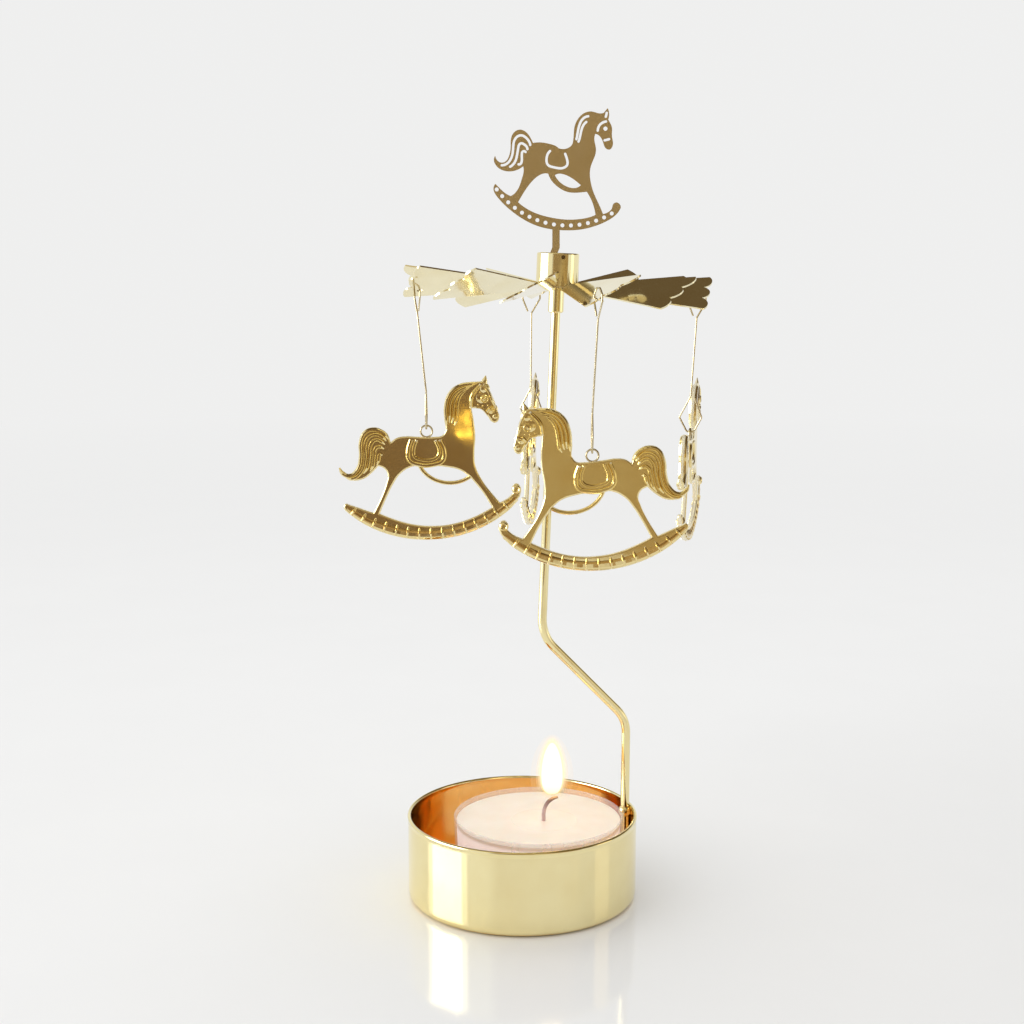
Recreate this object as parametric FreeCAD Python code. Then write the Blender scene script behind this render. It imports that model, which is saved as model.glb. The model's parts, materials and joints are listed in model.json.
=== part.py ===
import FreeCAD, Part
import math
import os

# Rotary candle carousel. Millimetres, +Z up, origin at the centre of the cup's bottom face.
# +X is to the right and +Y to the rear, seen from the front.

# Tea light
tealight_diameter = 38.5
tealight_height = 18.4
tealight_wall = 0.5
tealight_taper = 0.7
tealight_rear_shift = -0.5
wax_below_rim = 1.1
wax_clearance = 0.05
wick_diameter = 1.2
wick_shift = 1.3
wick_rise = 5.0
wick_reach = 3.4
wick_upright_share = 0.4
wick_bend_radius = 2.6
wick_clearance = 0.1
sustainer_diameter = 12.0
sustainer_thickness = 0.25
sustainer_tube_wall = 0.3
sustainer_tube_height = 4.0

# Candle cup, drawn from sheet around the tea light
cup_room = 12.3
cup_side_gap = 2.45
cup_height = 19.4
cup_wall = 0.6
cup_floor = 0.6
cup_corner_radius = 1.8
cup_rim_round = 0.25
rim_round_share = 0.45

# Support rod
rod_diameter = 2.0
rod_azimuth = 12.5
rod_splay = 0.1
rod_foot_height = 3.0
rod_wall_gap = 0.05
low_bend_height = 39.8
high_bend_height = 61.0
low_bend_radius = 8.0
high_bend_radius = 9.3
rod_tip_length = 1.5
rod_tip_radius = 0.2
weld_radius = 1.5
weld_below_rim = 1.6

# Spin axis: a point on it in the wheel's plane, and its lean from upright
wheel_x = 7.4
wheel_y = 1.0
wheel_height = 138.15
axis_lean = 2.7
axis_lean_azimuth = 31.5

# Blade wheel, one stamped sheet; two of its blades are bent a little out of line with the rest
sheet_thickness = 0.35
blade_count = 12
blade_start = 18.7
blade_gap = 6.8
blade_pitch = 29.5
blade_droop = {1: -2.0, 4: 5.0}
blade_tip_radius = 33.2
blade_corner_drop = 0.7
wheel_disc_margin = 1.0
neck_margin = 0.15
notch_offset = 2.23
notch_depth = 1.5
hook_hole_inset = 3.2
hook_hole_offset = 3.4

# Hub
hub_diameter = 9.2
hub_height = 7.1
hub_edge = 0.3
sleeve_diameter = 3.4
sleeve_length = 5.4
sleeve_flange_diameter = 4.2
sleeve_flange_height = 0.6
sleeve_spigot = 2.4
rod_clearance = 0.3
fit_clearance = 0.05
bearing_height = 1.8
bearing_recess = 0.9
bearing_recess_radius = 1.25
tip_clearance = 0.25

# Flat horse on top of the hub
figure_thickness = 0.4
figure_length = 26.7
figure_stem_width = 1.6
figure_stem_rise = 4.8
figure_stem_shift = -0.55
figure_tip_back = 2.3
stem_joggle = 0.4
stem_joggle_height = 1.1
stem_foot_depth = 2.0
stem_foot_width = 3.4
figure_slot_width = 0.52
figure_dot_count = 16
figure_dot_diameter = 0.85
figure_eye_diameter = 0.9
pin_diameter = 0.8
pin_below_top = 0.9
pin_shift = 1.0

# Hook wires
wire_diameter = 0.4
hook_hole_room = 0.45
hook_arch_radius = 2.15
arch_corner_angle = 45.0
hook_taper_height = 4.0
hook_leg_height = 0.6
hook_end_gap = 0.5
loop_width = 5.0
loop_height = 8.0
loop_belly_height = 3.2
loop_foot_width = 1.6
wire_bend_radius = 0.6

# Hanging horses
horse_length = 40.0
horse_thickness = 1.1
ring_diameter = 2.95
ring_hole = 2.1
ring_thickness = 0.7
ring_sink = 0.3
ring_wire_gap = 0.25
horse_relief = 0.2
saddle_band_width = 0.8
strand_width = 0.75
rib_count = 15
rib_width = 0.7
rib_overhang = 0.15
rocker_width = 2.9
eye_diameter = 1.1

# Each pendant: the quarter of the wheel it hangs in, the edge of the blade its hook goes round, its drop
# from the blade to the ring, the drift of its wire, the way the horse faces, and its nose's tip down
pendants = {
    "right": {"quarter": 0, "edge": "end", "drop": 29.4, "drift": (-1.0, 0.0), "heading": 78.0, "nod": 2.0},
    "back": {"quarter": 1, "edge": "side", "drop": 29.6, "drift": (-0.1, 0.0), "heading": 84.5, "nod": 4.0},
    "left": {"quarter": 2, "edge": "side", "drop": 28.8, "drift": (1.8, -1.0), "heading": 0.0, "nod": 0.0},
    "front": {"quarter": 3, "edge": "end", "drop": 31.1, "drift": (-0.9, 1.8), "heading": 180.0, "nod": 6.0},
}

# Outline of a hanging horse, drawn nose to the right from the ring's foot on the back. Each row is one
# smooth run that goes on from the end of the row before.
horse_drawn_length = 40.0
horse_outline = [
    [(12.0, 12.1)],
    [(10.2, 11.9), (7.25, 11.5), (4.9, 9.8), (3.8, 6.7), (4.0, 3.4), (4.2, 1.5)],
    [(3.4, 0.3), (1.8, 0.0), (-1.8, 0.0), (-4.8, 0.1), (-6.6, -0.3), (-7.8, -1.2)],
    [(-8.4, 0.4), (-9.7, 1.5), (-11.5, 2.0), (-13.6, 1.3), (-14.7, -1.2), (-14.7, -4.5), (-15.4, -7.2),
     (-17.0, -8.4), (-18.3, -7.9), (-19.1, -6.7)],
    [(-18.2, -8.8), (-16.3, -9.6), (-13.9, -9.3), (-11.9, -7.9), (-10.5, -6.4)],
    [(-9.2, -7.0), (-8.5, -8.4), (-8.8, -9.9), (-9.6, -12.3), (-11.7, -16.7)],
    [(-18.0, -14.5)],
    [(-17.8, -15.7)],
    [(-14.3, -18.6), (-7.8, -21.4), (0.0, -22.7), (7.4, -21.7), (13.8, -19.0), (18.2, -16.0), (20.4, -13.0)],
    [(20.5, -11.3), (19.4, -10.2), (18.5, -11.2), (18.7, -12.3)],
    [(17.6, -13.4), (15.9, -14.4)],
    [(14.1, -12.3), (12.3, -9.9), (10.6, -6.3), (10.4, -3.5), (10.6, 0.0), (10.3, 3.4), (9.8, 6.2)],
    [(11.7, 6.0), (13.2, 4.6), (14.1, 3.3), (15.1, 3.1), (15.8, 4.3), (15.3, 6.0), (14.5, 8.4),
     (13.1, 11.0)],
    [(12.8, 13.1)],
]
horse_arch = [
    [(-8.7, -13.2), (-7.2, -10.2), (-5.7, -8.1), (-3.3, -6.6), (-1.8, -6.8)],
    [(-0.3, -8.7), (1.8, -9.9), (4.8, -10.45), (7.5, -10.15), (9.7, -9.1)],
    [(12.0, -12.0), (14.2, -15.5)],
    [(10.2, -17.6), (5.7, -19.1), (1.2, -19.6), (-3.3, -19.2), (-7.8, -17.9), (-10.3, -16.9)],
]
horse_lens = [
    [(1.2, -6.4), (4.2, -6.6), (7.2, -7.3), (9.1, -8.3)],
    [(7.2, -9.4), (4.8, -9.8), (2.1, -9.2), (0.3, -8.0), (-1.2, -6.7)],
]
horse_rocker = [(-16.8, -15.8), (0.0, -21.2), (19.2, -13.1)]
horse_saddle = [(-3.3, -0.6), (-3.9, -3.0), (-3.5, -5.0), (-1.5, -5.8), (1.8, -5.8), (3.6, -4.9), (3.9, -3.0),
                (2.8, -0.6)]
horse_strands = [
    [(11.2, 11.4), (7.6, 10.6), (5.4, 8.6), (4.7, 5.4), (4.9, 2.4)],
    [(9.6, 10.5), (7.2, 9.0), (6.0, 6.4), (5.8, 3.6)],
    [(8.2, 9.0), (7.1, 7.2), (6.9, 4.8), (6.2, 2.6)],
    [(-8.7, -0.6), (-11.0, 1.0), (-13.2, 0.0), (-13.9, -4.0), (-15.2, -7.9), (-18.0, -8.6)],
    [(-8.8, -1.6), (-10.8, -0.4), (-12.2, -1.6), (-12.8, -5.0), (-15.0, -8.8)],
    [(-9.0, -2.8), (-10.4, -2.2), (-11.3, -4.4), (-12.8, -8.0)],
    [(9.9, 6.8), (10.5, 9.2), (12.2, 11.3)],
]
horse_eye = (13.1, 8.2)

# Outline of the flat horse, drawn nose to the right from the top of its stem
figure_drawn_length = 26.7
figure_outline = [
    [(10.1, 24.8)],
    [(9.2, 24.7), (7.5, 25.1), (6.0, 24.8), (4.8, 23.8), (3.9, 22.0), (3.7, 20.0), (3.45, 18.3)],
    [(2.8, 17.6), (1.85, 17.25), (0.5, 17.4)],
    [(-0.1, 17.85), (-1.4, 18.3), (-3.1, 18.6), (-5.0, 18.5)],
    [(-5.8, 20.0), (-6.8, 21.0), (-7.8, 21.3), (-9.0, 20.8), (-9.7, 19.5), (-9.8, 17.6), (-10.2, 15.6),
     (-10.9, 14.6), (-12.0, 14.4), (-12.8, 15.0), (-13.1, 15.8)],
    [(-13.4, 15.0), (-12.8, 13.6), (-11.4, 12.7), (-9.9, 12.5), (-8.2, 12.9), (-7.1, 13.6)],
    [(-7.05, 12.2), (-7.4, 10.9), (-8.0, 9.2), (-8.8, 8.0), (-9.8, 7.3)],
    [(-11.2, 8.1), (-12.3, 9.1), (-13.1, 9.9)],
    [(-13.5, 8.8), (-12.5, 6.9), (-10.2, 4.6), (-7.3, 2.5), (-4.2, 1.0), (-0.8, 0.2), (2.3, 0.0),
     (5.5, 0.2), (8.5, 0.95), (11.2, 2.1), (13.0, 3.4), (13.9, 4.7)],
    [(13.75, 5.5), (13.0, 5.95), (12.25, 5.5), (12.05, 4.75), (11.4, 4.0), (10.1, 3.5)],
    [(9.0, 6.0), (8.0, 8.2), (7.4, 10.4), (7.25, 12.6), (7.6, 14.1), (8.3, 15.8), (8.5, 17.3), (8.2, 18.8),
     (8.35, 20.4)],
    [(9.2, 20.0), (10.0, 18.7), (10.7, 17.3), (11.4, 17.1), (12.1, 18.0), (11.9, 20.0), (11.9, 21.7),
     (11.5, 22.7), (11.1, 23.4)],
    [(11.25, 24.9), (10.95, 25.8)],
]
figure_arch = [
    [(-7.0, 8.0), (-5.3, 10.3), (-3.8, 11.6), (-2.3, 12.1), (-1.7, 12.0)],
    [(-1.1, 10.7), (0.4, 9.2), (2.3, 8.2), (4.3, 8.0), (6.6, 8.2)],
    [(7.7, 6.2), (8.5, 3.3)],
    [(7.0, 2.75), (5.0, 2.4), (2.3, 2.3), (-0.9, 2.7), (-3.8, 3.45), (-6.3, 4.6), (-8.2, 6.0)],
]
figure_lens = [
    [(0.4, 12.0), (1.9, 11.8), (3.8, 10.8), (5.3, 9.6)],
    [(4.1, 9.0), (2.6, 9.2), (1.1, 10.0), (-0.3, 11.7)],
]
figure_slots = [
    [(6.8, 24.1), (5.7, 23.6), (4.9, 22.2), (4.3, 19.3)],
    [(6.4, 22.9), (5.7, 22.1), (5.2, 20.5), (4.75, 18.8)],
    [(-5.6, 18.1), (-6.5, 19.6), (-7.7, 20.1), (-8.8, 19.4), (-9.25, 17.6), (-9.5, 15.8), (-10.4, 14.3),
     (-11.7, 13.8)],
    [(-6.2, 17.2), (-6.9, 18.2), (-7.7, 18.4), (-8.2, 17.3), (-8.5, 15.6), (-9.9, 13.5)],
    [(-6.6, 16.6), (-7.2, 16.7), (-7.4, 15.6), (-8.1, 14.0)],
    [(-1.35, 16.8), (-2.1, 15.1), (-1.8, 13.9), (-0.4, 13.35), (1.3, 13.2), (2.3, 13.8), (2.3, 15.1),
     (1.9, 16.2)],
    [(8.85, 21.1), (9.3, 22.3), (10.6, 23.0)],
    [(10.75, 24.8), (10.65, 24.3), (10.55, 24.0)],
    [(10.35, 19.05), (10.8, 19.15), (11.3, 19.3)],
]
figure_eye = (10.5, 21.5)
figure_dots = [(-12.8, 8.7), (0.4, 1.15), (12.0, 3.6)]

# Sizes that follow from the ones above
full_turn = 360.0
tealight_radius = tealight_diameter / 2
cup_inner_radius = tealight_radius + cup_room / 2
cup_radius = cup_inner_radius + cup_wall
rod_radius = rod_diameter / 2
wire_radius = wire_diameter / 2
hook_hole_radius = wire_radius + hook_hole_room
hook_hole_place = blade_tip_radius - hook_hole_inset
notch_radius = blade_tip_radius - notch_depth
ring_drop = ring_hole / 2 - ring_wire_gap - wire_radius
outline_drop = ring_diameter / 2 - ring_sink
hub_top = sheet_thickness / 2 + hub_height
sleeve_spigot_top = sheet_thickness / 2 + sleeve_spigot
bearing_top = sleeve_spigot_top + fit_clearance + bearing_height
tip_height = sleeve_spigot_top + fit_clearance + bearing_recess - tip_clearance


def vec(x, y, z):
    return FreeCAD.Vector(x, y, z)


origin = vec(0, 0, 0)
up = vec(0, 0, 1)
forward = vec(1, 0, 0)
rearward = vec(0, 1, 0)


def polar(radius, azimuth, height):
    angle = math.radians(azimuth)
    return vec(radius * math.cos(angle), radius * math.sin(angle), height)


def edge_arc(first, middle, last):
    return Part.Arc(first, middle, last).toShape()


def rounded_path(points, radii):
    # Straight runs joined by tangent arcs, one radius for each inner point
    edges = []
    start = points[0]
    for index, radius in enumerate(radii):
        corner = points[index + 1]
        incoming = (corner - points[index]).normalize()
        outgoing = (points[index + 2] - corner).normalize()
        turn = incoming.getAngle(outgoing)
        setback = radius * math.tan(turn / 2)
        arc_start = corner - incoming * setback
        arc_end = corner + outgoing * setback
        inward = (outgoing - incoming).normalize()
        arc_middle = corner + inward * (radius / math.cos(turn / 2) - radius)
        edges.append(Part.LineSegment(start, arc_start).toShape())
        edges.append(edge_arc(arc_start, arc_middle, arc_end))
        start = arc_end
    edges.append(Part.LineSegment(start, points[-1]).toShape())
    return Part.Wire(edges)


def round_bar(path, radius, name):
    start = path.Edges[0].valueAt(path.Edges[0].FirstParameter)
    along = path.Edges[0].tangentAt(path.Edges[0].FirstParameter)
    section = Part.Wire(Part.Circle(start, along, radius).toShape())
    bar = path.makePipeShell([section], True, False)
    expected = math.pi * radius ** 2 * path.Length
    print(name, "volume against section times length", round(bar.Volume / expected, 4))
    return bar


def flat_point(point, scale, drop):
    return vec(point[0] * scale, 0, point[1] * scale - drop)


def outline_wire(runs, scale, drop):
    edges = []
    start = runs[-1][-1]
    for run in runs:
        points = [flat_point(point, scale, drop) for point in [start] + run]
        if len(points) == 2:
            edges.append(Part.LineSegment(points[0], points[1]).toShape())
        else:
            curve = Part.BSplineCurve()
            curve.interpolate(points)
            edges.append(curve.toShape())
        start = run[-1]
    return Part.Wire(edges)


def plate(runs, scale, drop, thickness):
    face = Part.Face(outline_wire(runs, scale, drop))
    face.translate(rearward * (-thickness / 2))
    return face.extrude(rearward * thickness)


def band(points, scale, drop, width, thickness):
    # A strip of even width with round ends, along a smooth curve
    spine = Part.BSplineCurve()
    spine.interpolate([flat_point(point, scale, drop) for point in points])
    steps = 2 * len(points)
    first = spine.FirstParameter
    span = spine.LastParameter - first
    left = []
    right = []
    for step in range(steps + 1):
        parameter = first + span * step / steps
        place = spine.value(parameter)
        side = spine.tangent(parameter)[0].cross(rearward).normalize() * (width / 2)
        left.append(place + side)
        right.append(place - side)
    near_end = spine.value(first) - spine.tangent(first)[0].normalize() * (width / 2)
    far_end = spine.value(first + span) + spine.tangent(first + span)[0].normalize() * (width / 2)
    left_curve = Part.BSplineCurve()
    left_curve.interpolate(left)
    right_curve = Part.BSplineCurve()
    right_curve.interpolate(right[::-1])
    wire = Part.Wire([left_curve.toShape(), edge_arc(left[-1], far_end, right[-1]),
                      right_curve.toShape(), edge_arc(right[0], near_end, left[0])])
    face = Part.Face(wire)
    face.translate(rearward * (-thickness / 2))
    return face.extrude(rearward * thickness)


def flat_sheet(corners):
    outline = Part.makePolygon([vec(x, -figure_thickness / 2, z) for x, z in corners + corners[:1]])
    return Part.Face(outline).extrude(rearward * figure_thickness)


def disc_through(point, diameter, thickness):
    start = point - rearward * (thickness / 2)
    return Part.makeCylinder(diameter / 2, thickness, start, rearward)


# Placement of everything that spins with the wheel
lean_axis = polar(1, axis_lean_azimuth + 90, 0)
wheel_centre = vec(wheel_x, wheel_y, wheel_height)
rotor_turn = FreeCAD.Rotation(lean_axis, axis_lean)
rotor_place = FreeCAD.Placement(wheel_centre, rotor_turn)
spin_axis = rotor_turn.multVec(up)


def on_rotor(shape):
    placed = shape.copy()
    placed.Placement = rotor_place.multiply(placed.Placement)
    return placed


def on_axis(height):
    return wheel_centre + spin_axis * ((height - wheel_height) / spin_axis.z)


def make_candle_cup():
    outer = Part.makeCylinder(cup_radius, cup_height)
    foot_edges = [edge for edge in outer.Edges if edge.BoundBox.ZMax < cup_floor]
    outer = outer.makeFillet(cup_corner_radius, foot_edges)
    inner = Part.makeCylinder(cup_inner_radius, cup_height, up * cup_floor)
    inner_round = max(cup_corner_radius - cup_wall, cup_rim_round)
    low_edges = [edge for edge in inner.Edges if edge.BoundBox.ZMax < cup_floor + cup_rim_round]
    inner = inner.makeFillet(inner_round, low_edges)
    cup = outer.cut(inner)
    rim_edges = [edge for edge in cup.Edges if edge.BoundBox.ZMin > cup_height - cup_rim_round]
    return cup.makeFillet(min(cup_rim_round, cup_wall * rim_round_share), rim_edges)


def rod_radius_at(height):
    at_rim = cup_inner_radius - rod_radius - rod_wall_gap
    return at_rim + (height - cup_height) * math.tan(math.radians(rod_splay))


def make_support_rod():
    foot = polar(rod_radius_at(rod_foot_height), rod_azimuth, rod_foot_height)
    low_bend = polar(rod_radius_at(low_bend_height), rod_azimuth, low_bend_height)
    high_bend = on_axis(high_bend_height)
    shoulder = wheel_centre + spin_axis * (tip_height - rod_tip_length)
    path = rounded_path([foot, low_bend, high_bend, shoulder], [low_bend_radius, high_bend_radius])
    bar = round_bar(path, rod_radius, "support_rod")
    tip = Part.makeCone(rod_radius, rod_tip_radius, rod_tip_length, shoulder, spin_axis)
    return bar.fuse(tip).removeSplitter()


def make_rod_weld(rod):
    height = cup_height - weld_below_rim
    blob = Part.makeSphere(weld_radius, polar(rod_radius_at(height), rod_azimuth, height))
    room = Part.makeCylinder(cup_inner_radius, cup_height)
    return blob.common(room).cut(rod)


def make_tealight_cup(place):
    low_radius = tealight_radius - tealight_taper
    outer = Part.makeCone(low_radius, tealight_radius, tealight_height)
    inner = Part.makeCone(low_radius - tealight_wall, tealight_radius - tealight_wall, tealight_height,
                          up * tealight_wall)
    return outer.cut(inner).translated(place)


def tealight_inner_radius(height):
    return tealight_radius - tealight_wall - tealight_taper * (1 - (height - tealight_wall) / tealight_height)


def make_wick_sustainer(place):
    tube_radius = wick_diameter / 2 + wick_clearance + sustainer_tube_wall
    disc = Part.makeCylinder(sustainer_diameter / 2, sustainer_thickness)
    tube = Part.makeCylinder(tube_radius, sustainer_tube_height)
    bore_radius = tube_radius - sustainer_tube_wall
    bore = Part.makeCylinder(bore_radius, sustainer_tube_height, up * sustainer_thickness)
    return disc.fuse(tube).cut(bore).translated(place + forward * wick_shift + up * tealight_wall)


def make_wick(place, wax_top):
    foot = place + forward * wick_shift + up * (tealight_wall + sustainer_thickness)
    bend = vec(foot.x, foot.y, wax_top + wick_rise * wick_upright_share)
    end = vec(foot.x + wick_reach, foot.y, wax_top + wick_rise)
    return round_bar(rounded_path([foot, bend, end], [wick_bend_radius]), wick_diameter / 2, "wick")


def make_wax(place, wax_top):
    foot = tealight_wall + wax_clearance
    height = wax_top - place.z
    low_radius = tealight_inner_radius(foot) - wax_clearance
    wax = Part.makeCone(low_radius, tealight_inner_radius(height) - wax_clearance, height - foot, up * foot)
    middle = forward * wick_shift
    bore = Part.makeCylinder(wick_diameter / 2 + wick_clearance, height, middle)
    tube_room = wick_diameter / 2 + sustainer_tube_wall + 2 * wick_clearance
    tube = Part.makeCylinder(tube_room, sustainer_tube_height + wick_clearance, middle + up * tealight_wall)
    disc = Part.makeCylinder(sustainer_diameter / 2 + wick_clearance, sustainer_thickness + wick_clearance,
                             middle + up * tealight_wall)
    return wax.cut(bore).cut(tube).cut(disc).translated(place)


def make_blade(hooked, droop):
    half_angle = math.radians((full_turn / blade_count - blade_gap) / 2)
    root = hub_diameter / 2 + neck_margin
    corner = blade_tip_radius - blade_corner_drop
    corner_side = corner * math.tan(half_angle)
    root_side = root * math.tan(half_angle)
    lobe_middle = (corner_side + notch_offset) / 2
    edges = [
        Part.LineSegment(vec(root, -root_side, 0), vec(corner, -corner_side, 0)).toShape(),
        edge_arc(vec(corner, -corner_side, 0), vec(blade_tip_radius, -lobe_middle, 0),
                 vec(notch_radius, -notch_offset, 0)),
        edge_arc(vec(notch_radius, -notch_offset, 0), vec(blade_tip_radius, 0, 0),
                 vec(notch_radius, notch_offset, 0)),
        edge_arc(vec(notch_radius, notch_offset, 0), vec(blade_tip_radius, lobe_middle, 0),
                 vec(corner, corner_side, 0)),
        Part.LineSegment(vec(corner, corner_side, 0), vec(root, root_side, 0)).toShape(),
        Part.LineSegment(vec(root, root_side, 0), vec(root, -root_side, 0)).toShape(),
    ]
    face = Part.Face(Part.Wire(edges))
    face.translate(up * (-sheet_thickness / 2))
    blade = face.extrude(up * sheet_thickness)
    if hooked:
        hole_place = vec(hook_hole_place, -hook_hole_offset, -sheet_thickness)
        blade = blade.cut(Part.makeCylinder(hook_hole_radius, 2 * sheet_thickness, hole_place))
    blade.rotate(origin, forward, blade_pitch)
    blade.rotate(forward * root, rearward, droop)
    return blade


def blade_azimuth(index):
    return blade_start + index * full_turn / blade_count


def hooked_blade(quarter):
    return quarter * blade_count // 4


def make_blade_wheel():
    disc_radius = hub_diameter / 2 + wheel_disc_margin
    disc = Part.makeCylinder(disc_radius, sheet_thickness, up * (-sheet_thickness / 2))
    hooked = [hooked_blade(pendant["quarter"]) for pendant in pendants.values()]
    blades = []
    for index in range(blade_count):
        blade = make_blade(index in hooked, blade_droop.get(index, 0))
        blade.rotate(origin, up, blade_azimuth(index))
        blades.append(blade)
    wheel = disc.multiFuse(blades)
    hole_radius = sleeve_diameter / 2 + fit_clearance
    hole = Part.makeCylinder(hole_radius, 2 * sheet_thickness, up * (-sheet_thickness))
    return on_rotor(wheel.cut(hole))


def pin_place():
    return vec(pin_shift, -hub_diameter / 2, hub_top - pin_below_top)


def make_hub_cap():
    cap = Part.makeCylinder(hub_diameter / 2, hub_height, up * (sheet_thickness / 2))
    rim = [edge for edge in cap.Edges if edge.BoundBox.ZMin > hub_top - hub_edge]
    cap = cap.makeFillet(hub_edge, rim)
    bore = Part.makeCylinder(sleeve_diameter / 2 + fit_clearance, bearing_top)
    slot = Part.makeBox(stem_foot_width + 2 * fit_clearance, figure_thickness + 2 * fit_clearance,
                        stem_foot_depth + fit_clearance)
    slot.translate(vec(figure_stem_shift - figure_stem_width / 2 - stem_joggle - fit_clearance,
                       -figure_thickness / 2 - fit_clearance, hub_top - stem_foot_depth - fit_clearance))
    pin_hole = Part.makeCylinder(pin_diameter / 2 + fit_clearance, pin_length() + fit_clearance, pin_place(),
                                 rearward)
    return on_rotor(cap.cut(bore).cut(slot).cut(pin_hole))


def pin_length():
    return hub_diameter / 2 + 2 * figure_thickness


def make_stem_pin():
    seat = math.sqrt((hub_diameter / 2) ** 2 - pin_shift ** 2)
    pin = Part.makeCylinder(pin_diameter / 2, pin_length(), pin_place(), rearward)
    return on_rotor(pin.common(Part.makeCylinder(seat, 2 * hub_top)))


def make_hub_sleeve():
    flange_foot = -sheet_thickness / 2 - sleeve_flange_height
    body = Part.makeCylinder(sleeve_diameter / 2, sleeve_length + sheet_thickness / 2 + sleeve_spigot_top,
                             up * (-sleeve_length - sheet_thickness / 2))
    flange = Part.makeCylinder(sleeve_flange_diameter / 2, sleeve_flange_height, up * flange_foot)
    sleeve = body.fuse(flange)
    foot = [edge for edge in sleeve.Edges if edge.BoundBox.ZMax < -sleeve_length]
    sleeve = sleeve.makeChamfer(min(hub_edge, (sleeve_diameter - rod_diameter) / 4), foot)
    bore_length = 2 * (sleeve_length + sleeve_spigot_top)
    bore = Part.makeCylinder(rod_radius + rod_clearance, bore_length, up * (-2 * sleeve_length))
    return on_rotor(sleeve.cut(bore))


def make_bearing_cup():
    foot = sleeve_spigot_top + fit_clearance
    cup = Part.makeCylinder(sleeve_diameter / 2, bearing_height, up * foot)
    recess = Part.makeCone(bearing_recess_radius, 0, bearing_recess, up * foot)
    return on_rotor(cup.cut(recess))


def make_top_horse():
    scale = figure_length / figure_drawn_length
    cut_depth = 2 * figure_thickness
    figure = plate(figure_outline, scale, 0, figure_thickness)
    openings = [plate(figure_arch, scale, 0, cut_depth), plate(figure_lens, scale, 0, cut_depth)]
    for slot in figure_slots:
        openings.append(band(slot, scale, 0, figure_slot_width * scale, cut_depth))
    openings.append(disc_through(flat_point(figure_eye, scale, 0), figure_eye_diameter * scale, cut_depth))
    dot_line = edge_arc(*[flat_point(point, scale, 0) for point in figure_dots])
    for place in dot_line.discretize(figure_dot_count):
        openings.append(disc_through(place, figure_dot_diameter * scale, cut_depth))
    for opening in openings:
        figure = figure.cut(opening)
    half = figure_stem_width / 2
    joggle_top = -figure_stem_rise + stem_joggle_height
    foot_left = -half - stem_joggle
    foot_top = -figure_stem_rise - fit_clearance
    foot_low = -figure_stem_rise - stem_foot_depth
    straight = flat_sheet([(-half, half), (-half, joggle_top), (half, joggle_top), (half, half)])
    foot = flat_sheet([(-half, joggle_top + half), (-half, joggle_top), (foot_left, -figure_stem_rise),
                       (foot_left, foot_low), (foot_left + stem_foot_width, foot_low),
                       (foot_left + stem_foot_width, foot_top), (half - stem_joggle, foot_top),
                       (half - stem_joggle, -figure_stem_rise), (half, joggle_top),
                       (half, joggle_top + half)])
    figure = figure.fuse(straight)
    figure.rotate(vec(0, 0, joggle_top), rearward, -figure_tip_back)
    figure = figure.fuse(foot).removeSplitter()
    figure.translate(vec(figure_stem_shift, 0, hub_top + figure_stem_rise))
    pin_hole = Part.makeCylinder(pin_diameter / 2 + fit_clearance, hub_diameter, pin_place(), rearward)
    return on_rotor(figure.cut(pin_hole))


def blade_turn(pendant):
    return rotor_turn.multiply(FreeCAD.Rotation(up, blade_azimuth(hooked_blade(pendant["quarter"]))))


def hang_point(pendant):
    # Centre of the hook's arch: one arch radius from the hole, towards the edge that the hook goes round
    across = vec(0, -math.cos(math.radians(blade_pitch)), -math.sin(math.radians(blade_pitch)))
    local = forward * hook_hole_place + across * hook_hole_offset
    if pendant["edge"] == "end":
        local = local + forward * hook_arch_radius
    else:
        local = local + across * hook_arch_radius
    return wheel_centre + blade_turn(pendant).multVec(local)


def hook_foot(pendant):
    return hang_point(pendant) + vec(pendant["drift"][0], pendant["drift"][1], -pendant["drop"])


def make_hook_wire(pendant, name):
    top = hang_point(pendant)
    foot = hook_foot(pendant)
    to_edge = forward if pendant["edge"] == "end" else rearward * -1
    towards = blade_turn(pendant).multVec(to_edge)
    outward = vec(towards.x, towards.y, 0).normalize()
    across = polar(1, pendant["heading"] + 90, 0)
    reach = hook_arch_radius
    corner = reach * math.tan(math.radians(arch_corner_angle / 2))
    upper = [
        top - outward * (hook_end_gap + wire_diameter) - up * (hook_taper_height - hook_end_gap),
        top - outward * reach - up * hook_leg_height,
        top - outward * reach + up * corner,
        top - outward * corner + up * reach,
        top + outward * corner + up * reach,
        top + outward * reach + up * corner,
        top + outward * reach - up * hook_leg_height,
        top - up * hook_taper_height,
    ]
    lower = [
        foot + up * loop_height,
        foot + across * (loop_width / 2) + up * loop_belly_height,
        foot + across * (loop_foot_width / 2),
        foot - across * (loop_foot_width / 2),
        foot - across * (loop_width / 2) + up * loop_belly_height,
        foot - across * (hook_end_gap + wire_diameter) + up * (loop_height - hook_end_gap),
    ]
    points = upper + lower
    radii = [wire_bend_radius] * (len(points) - 2)
    return round_bar(rounded_path(points, radii), wire_radius, "hook_wire_" + name)


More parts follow.
